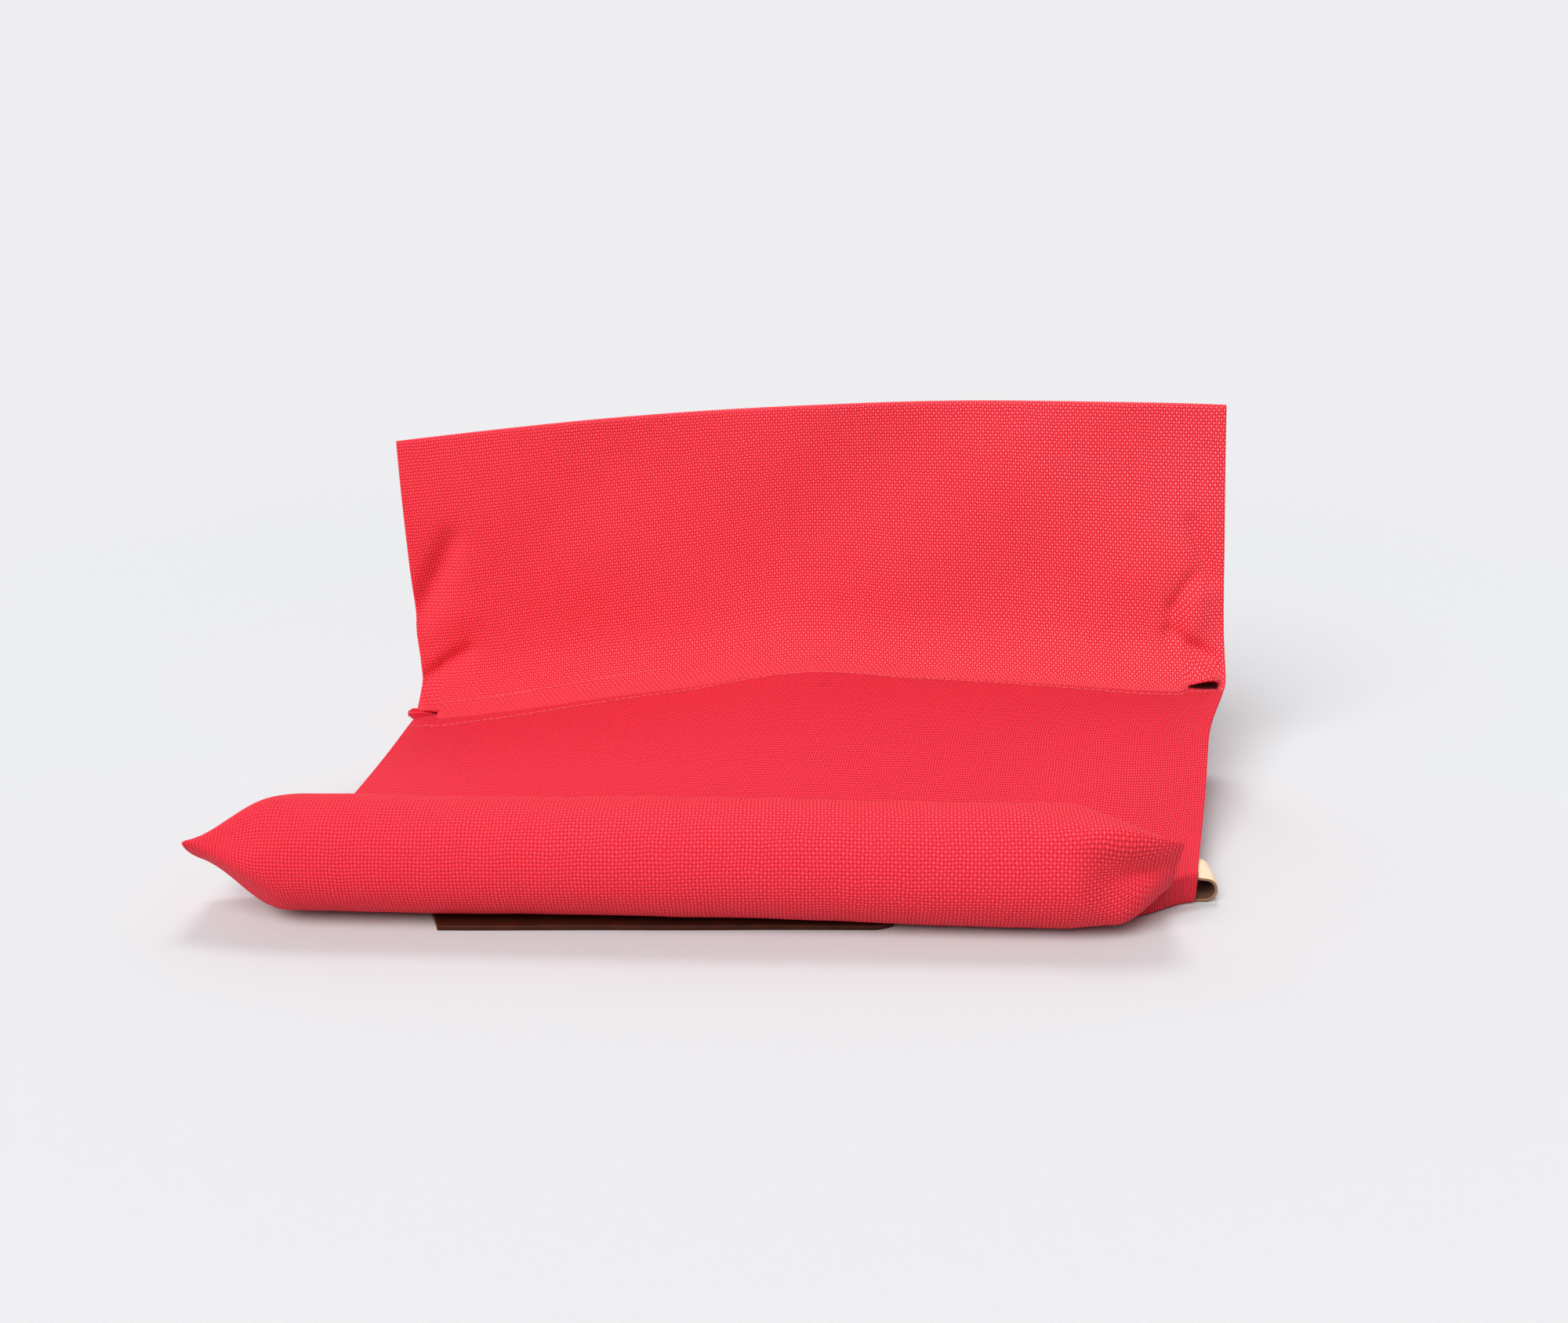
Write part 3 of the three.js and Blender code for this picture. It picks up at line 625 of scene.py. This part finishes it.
# ---- bolster ----
def bolster_body():
    """The stuffed tube: rings that flatten and tilt towards the sewn seam at each end."""
    cloth = Cloth()
    columns, sides = 171, 97
    k = np.linspace(0, 1, columns)
    k = mix(k, 0.5 - 0.5 * np.cos(np.pi * k), 0.75)
    x = mix(BOLSTER_X[0], BOLSTER_X[1], k)
    angle = np.linspace(0, 2 * np.pi, sides)
    from_left = x - BOLSTER_X[0]
    from_right = BOLSTER_X[1] - x
    radius = mix(*BOLSTER_RADIUS, k)
    left_top = 0.1 + 0.9 * smooth(from_left, -3, 24)
    left_low = 0.1 + 0.9 * smooth(from_left, -3, 28)
    right_top = smooth(from_right, -9, 28)
    right_low = smooth(from_right, -4, 17) ** 0.8
    roundness = np.minimum(smooth(from_left, -5, 33), smooth(from_right, -5, 31))
    width = mix(np.where(k < 0.5, 12.5, 15.0), radius, roundness)
    thick_top = radius * np.minimum(left_top, right_top)
    thick_low = radius * np.minimum(left_low, right_low)
    tilt = np.radians(mix(*BOLSTER_TILT, smooth(k, 0.1, 0.9)))
    a, xx = angle[:, None], x[None, :]
    round_u, round_v = np.cos(a), np.sin(a)

    end_left = bump(from_left, 15, 15)[None, :]
    end_right = bump(from_right, 15, 16)[None, :]
    puckers = 0.07 * np.cos(5 * a + 0.6) * end_left + 0.085 * np.cos(4 * a + 1.3) * end_right
    degrees = np.degrees(a)
    hollow = bump(degrees, 230, 56) * bump(from_right, 9, 21)[None, :]
    ridge = bump(degrees, 178, 22) * bump(from_right, 16, 26)[None, :]
    dimple = bump(degrees, 140, 22) * bump(from_right, 30, 14)[None, :]
    swell = 1 - 0.46 * hollow + 0.18 * ridge - 0.05 * dimple + puckers
    swell = swell + soft(xx, a * 17, 5, 60, 0.012) + soft(xx, a * 17, 8, 24, 0.004)
    across = width[None, :] * round_u * swell
    up = np.where(round_v > 0, thick_top[None, :], thick_low[None, :]) * round_v * swell
    rest = mix(1.7, 0.4, smooth(x, 120, 185))
    middle_z = radius + rest
    y = BOLSTER_Y + across * np.cos(tilt)[None, :] - up * np.sin(tilt)[None, :]
    z = middle_z[None, :] + across * np.sin(tilt)[None, :] + up * np.cos(tilt)[None, :]
    z = np.maximum(z, rest[None, :])
    points = np.stack(np.broadcast_arrays(xx, y, z), axis=-1)
    cloth.patch(points, uv_of(xx, a * 16.5))
    half_count = (sides - 1) // 2
    for column in (0, -1):
        ring = points[:, column]
        upper, lower = ring[: half_count + 1], ring[half_count:][::-1]
        strip = np.stack([upper, (upper + lower) / 2, lower])
        along = np.concatenate([[0], np.cumsum(np.linalg.norm(np.diff(upper, axis=0), axis=1))])
        wide = np.linalg.norm(upper - lower, axis=1)[None, :] * np.array([[0.0], [0.5], [1.0]])
        cloth.patch(strip, uv_of(along[None, :], wide))
    return cloth.build("bolster", [bolster_canvas])


# ---- stitches ----
def stitch_row(name, line, lift_mm, pitch=2.3, length=1.8, radius=0.14):
    """Separate stitches along a line of points, each a short thread whose ends dip into the cloth."""
    line = np.asarray(line, float)
    steps = np.linalg.norm(np.diff(line, axis=0), axis=1)
    reach = np.concatenate([[0], np.cumsum(steps)])
    cloth = Cloth()
    random = np.random.RandomState(len(line))
    stops = np.arange(1.0, reach[-1] - length, pitch)
    along = np.linspace(0, 1, 7)
    angle = np.linspace(0, 2 * np.pi, 7)
    thin = radius * np.sqrt(np.clip(np.sin(np.pi * mix(0.06, 0.94, along)), 0.02, 1))
    ring_y = np.cos(angle)[:, None] * thin[None, :]
    ring_z = np.sin(angle)[:, None] * thin[None, :]
    ring = np.stack([0 * ring_y, ring_y, ring_z], axis=-1)
    for stop in stops:
        where = stop + along * length
        centre = np.stack([np.interp(where, reach, line[:, k]) for k in range(3)], axis=-1)
        rise = lift_mm + radius * 1.1 * np.sin(np.pi * along) - radius * 0.9
        centre = centre + rise[:, None] * np.array([0, -0.35, 0.94])
        centre[:, 2] += random.uniform(-0.05, 0.05)
        cloth.patch(centre[None, :, :] + ring, uv_of(along[None, :], angle[:, None]))
    return cloth.build(name, [pink_thread], weld=0.01, levels=0)


def upper_line(sheet):
    s = np.linspace(0.025, 0.31, 90)
    row = sheet.joint + len(SLIT_ROWS) + 1 + 1.5 * smooth(s, 0.05, 0.3)
    return sheet.on(s, row)


def lower_line(sheet):
    s = np.linspace(0.002, 0.99, 200)
    back = np.interp(s, [0, 0.1, 0.27, 0.5, 0.75, 0.93, 1], [11.0, 9.5, 6.5, 2.8, 4.5, 6.5, 5.5])
    return sheet.at_depth(s, back / BASE_DEPTH)


def front_line(sheet):
    s = np.linspace(0.04, 0.95, 120)
    return sheet.at_depth(s, np.full(len(s), FRONT_STITCH_SHARE))


# ---- strap and side loop ----
def strap_body():
    """The strap, flat on the ground: cut across at its free end and rounded off beyond the rivet."""
    cloth = Cloth()
    half_width, half_thick, bevel = STRAP_WIDTH / 2, STRAP_THICK / 2, 0.35
    profile = []
    for corner in range(4):
        for step in range(4):
            angle = math.radians(90 * corner + 30 * step)
            cx = (half_width - bevel) * (1 if corner in (0, 3) else -1)
            cz = (half_thick - bevel) * (1 if corner in (0, 1) else -1)
            profile.append((cx + bevel * math.cos(angle), cz + bevel * math.sin(angle)))
    profile.append(profile[0])
    profile = np.array(profile)
    cut_end = STRAP_ROUND_END - STRAP_LENGTH
    along = np.linspace(cut_end, STRAP_ROUND_END, 90)
    inside = np.clip(along, 0, STRAP_ROUND_END) / STRAP_ROUND_END
    narrow = np.sqrt(np.clip(1 - inside**2, 0.004, 1))
    side = profile[:, 0][:, None] * narrow[None, :]
    slant = 2.6 * (side / half_width) * (1 - smooth(along, cut_end, -100))[None, :]
    x = along[None, :] - slant
    z = half_thick + profile[:, 1][:, None] + 0.15 * np.sin(along / 17.0)[None, :] ** 2
    turn = math.radians(2.3)
    px = x * math.cos(turn) - side * math.sin(turn) + STRAP_PIVOT[0]
    py = x * math.sin(turn) + side * math.cos(turn) + STRAP_PIVOT[1]
    points = np.stack(np.broadcast_arrays(px, py, z), axis=-1)
    cloth.patch(points, uv_of(x, side))
    for column in (0, -1):
        ring = points[:-1, column]
        first, second = ring[:8], ring[8:][::-1]
        cap = np.stack([first, second])
        cloth.patch(cap, uv_of(np.arange(8)[None, :], np.arange(2)[:, None]), slot=1)
    return cloth.build("leather_strap", [brown_leather, cut_leather], levels=0)


def loop_body():
    """The side loop: a leather strip that comes out from under the base, bends up and runs back to it."""
    cloth = Cloth()
    path = [(-9.5, 0.0), (-6.0, 0.0), (-3.0, 0.0), (-1.0, 0.0)]
    for step in range(13):
        angle = math.radians(-90 + 15 * step)
        path.append((LOOP_RADIUS * math.cos(angle), LOOP_RADIUS + LOOP_RADIUS * math.sin(angle)))
    path += [(-1.0, 7.9), (-2.5, 8.1), (-4.0, 8.3)]
    path = np.array(path)
    centre = np.array([0.0, LOOP_RADIUS])
    inward = np.zeros_like(path)
    inward[:, 1] = np.where(path[:, 1] < LOOP_RADIUS, 1, -1)
    bend = path[:, 0] > 0
    inward[bend] = (centre - path[bend]) / LOOP_RADIUS
    inner = path + inward * LOOP_THICK
    rows = np.array([0.0, 0.06, 0.5, 0.94, 1.0])
    ease = np.array([0.2, 0.0, 0.0, 0.0, 0.2])

    def face(line, offset_sign):
        points = []
        for share, round_off in zip(rows, ease):
            shifted = line + inward * round_off * offset_sign
            y = np.full(len(line), LOOP_FRONT_Y + share * LOOP_WIDTH)
            points.append(np.stack([shifted[:, 0] + LOOP_EDGE_X + LOOP_REACH, y, shifted[:, 1]], axis=-1))
        return np.array(points)

    outside, inside = face(path, 1.0), face(inner, -1.0)
    length = np.arange(len(path)) * 1.0
    cloth.patch(outside, uv_of(length[None, :], rows[:, None] * LOOP_WIDTH))
    cloth.patch(inside, uv_of(length[None, :], rows[:, None] * LOOP_WIDTH), slot=1)
    for row in (0, -1):
        strip = np.stack([outside[row], inside[row]])
        cloth.patch(strip, uv_of(length[None, :], np.arange(2)[:, None]), slot=2)
    for column in (0, -1):
        strip = np.stack([outside[:, column], inside[:, column]])
        cloth.patch(strip, uv_of(rows[None, :], np.arange(2)[:, None]), slot=1)
    return cloth.build("leather_loop", [tan_leather, flesh_leather, cut_leather])


body, body_sheet = canvas_body()
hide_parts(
    "base_top_fabric", "base_underside_fabric", "base_left_gusset", "base_right_gusset",
    "base_rear_fabric", "base_front_fabric", "base_wedge_foam",
    "flap_front_fabric", "flap_rear_fabric", "flap_stiffener",
)
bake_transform(body)

tuck = tuck_body()
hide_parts("hinge_tuck")
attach(tuck, "base")

bolster = bolster_body()
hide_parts("bolster_cover", "bolster_filling", "bolster_left_seam", "bolster_right_seam")
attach(bolster, "bolster")

upper = stitch_row("upper_stitches", upper_line(body_sheet), STITCH_LIFT + 0.02)
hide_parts("hinge_stitching_upper")
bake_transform(upper)
for name, line, node in (
    ("lower_stitches", lower_line(body_sheet), "hinge_stitching_lower"),
    ("front_stitches", front_line(body_sheet), "bolster_stitching"),
):
    row = stitch_row(name, line, STITCH_LIFT)
    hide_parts(node)
    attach(row, "base")

strap = strap_body()
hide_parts("closure_strap")
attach(strap, "closure_strap")

loop = loop_body()
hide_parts("side_loop")
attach(loop, "base")

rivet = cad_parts["strap_rivet"]
rivet.data.materials.clear()
rivet.data.materials.append(brass)


# ---- floor, light and camera ----
def stage_floor():
    bpy.ops.mesh.primitive_plane_add(size=8)
    floor = bpy.context.object
    floor.name = "floor"
    n = Nodes("floor")
    place = n.tree.nodes.new("ShaderNodeNewGeometry").outputs["Position"]
    grain = n.noise(place, 1800.0, 2.0)
    n.set(Base_Color=FLOOR_COLOUR, Roughness=0.9, Specular_IOR_Level=0.1)
    n.bump(grain, 0.25, 0.1)
    away = n.tree.nodes.new("ShaderNodeVectorMath")
    away.operation = "LENGTH"
    n.put(away.inputs[0], place)
    far = n.math("MULTIPLY_ADD", away.outputs["Value"], 2.5, -0.8, clamp=True)
    glow = n.tree.nodes.new("ShaderNodeEmission")
    glow.inputs["Color"].default_value = BACKDROP
    blend = n.tree.nodes.new("ShaderNodeMixShader")
    n.put(blend.inputs[0], far)
    n.put(blend.inputs[1], n.shader.outputs[0])
    n.put(blend.inputs[2], glow.outputs[0])
    n.put(n.tree.nodes["Material Output"].inputs[0], blend.outputs[0])
    floor.data.materials.append(n.material)
    walls = []
    for name, x, y in (("backdrop", 0, 1), ("front_wall", 0, -1), ("left_wall", -1, 0), ("right_wall", 1, 0)):
        place = (x * WALL_DISTANCE, y * WALL_DISTANCE, 0)
        bpy.ops.mesh.primitive_plane_add(size=12, location=place, rotation=(math.pi / 2, 0, math.atan2(x, y)))
        wall = bpy.context.object
        wall.name = name
        wall.visible_diffuse = wall.visible_glossy = wall.visible_shadow = name == "backdrop"
        walls.append(wall)
    plain = Nodes("backdrop")
    plain_glow = plain.tree.nodes.new("ShaderNodeEmission")
    plain_glow.inputs["Color"].default_value = BACKDROP
    plain.put(plain.tree.nodes["Material Output"].inputs[0], plain_glow.outputs[0])
    for wall in walls:
        wall.data.materials.append(plain.material)


def sun(name, elevation, azimuth, strength, spread, colour=(1, 1, 1)):
    """azimuth 0 shines from the front and 90 from the right."""
    light = bpy.data.lights.new(name, "SUN")
    light.energy, light.angle, light.color = strength, math.radians(spread), colour
    lamp = bpy.data.objects.new(name, light)
    bpy.context.scene.collection.objects.link(lamp)
    up, round_ = math.radians(elevation), math.radians(azimuth)
    way = Vector((math.sin(round_) * math.cos(up), -math.cos(round_) * math.cos(up), math.sin(up)))
    lamp.rotation_euler = way.to_track_quat("Z", "Y").to_euler()
    return lamp


stage_floor()
sun("key", 47, -26, 3.45, 46)
sun("top", 62, 178, 1.25, 22)
world = bpy.data.worlds.new("studio")
world.use_nodes = True
world.node_tree.nodes["Background"].inputs["Color"].default_value = WORLD_COLOUR
world.node_tree.nodes["Background"].inputs["Strength"].default_value = WORLD_STRENGTH
bpy.context.scene.world = world
bpy.context.scene.view_settings.view_transform = "Standard"
bpy.context.scene.view_settings.look = "None"

camera = bpy.data.cameras.new("camera")
camera.lens, camera.sensor_width = CAMERA_LENS, 36.0
camera.clip_start = 0.01
view = bpy.data.objects.new("camera", camera)
bpy.context.scene.collection.objects.link(view)
turn = Euler((math.radians(90 - CAMERA_PITCH), 0, math.radians(CAMERA_YAW))).to_matrix().to_4x4()
place = Matrix.Translation(Vector(to_row(CAMERA_PLACE)))
view.matrix_world = place @ turn @ Matrix.Rotation(math.radians(CAMERA_ROLL), 4, "Z")
bpy.context.scene.camera = view
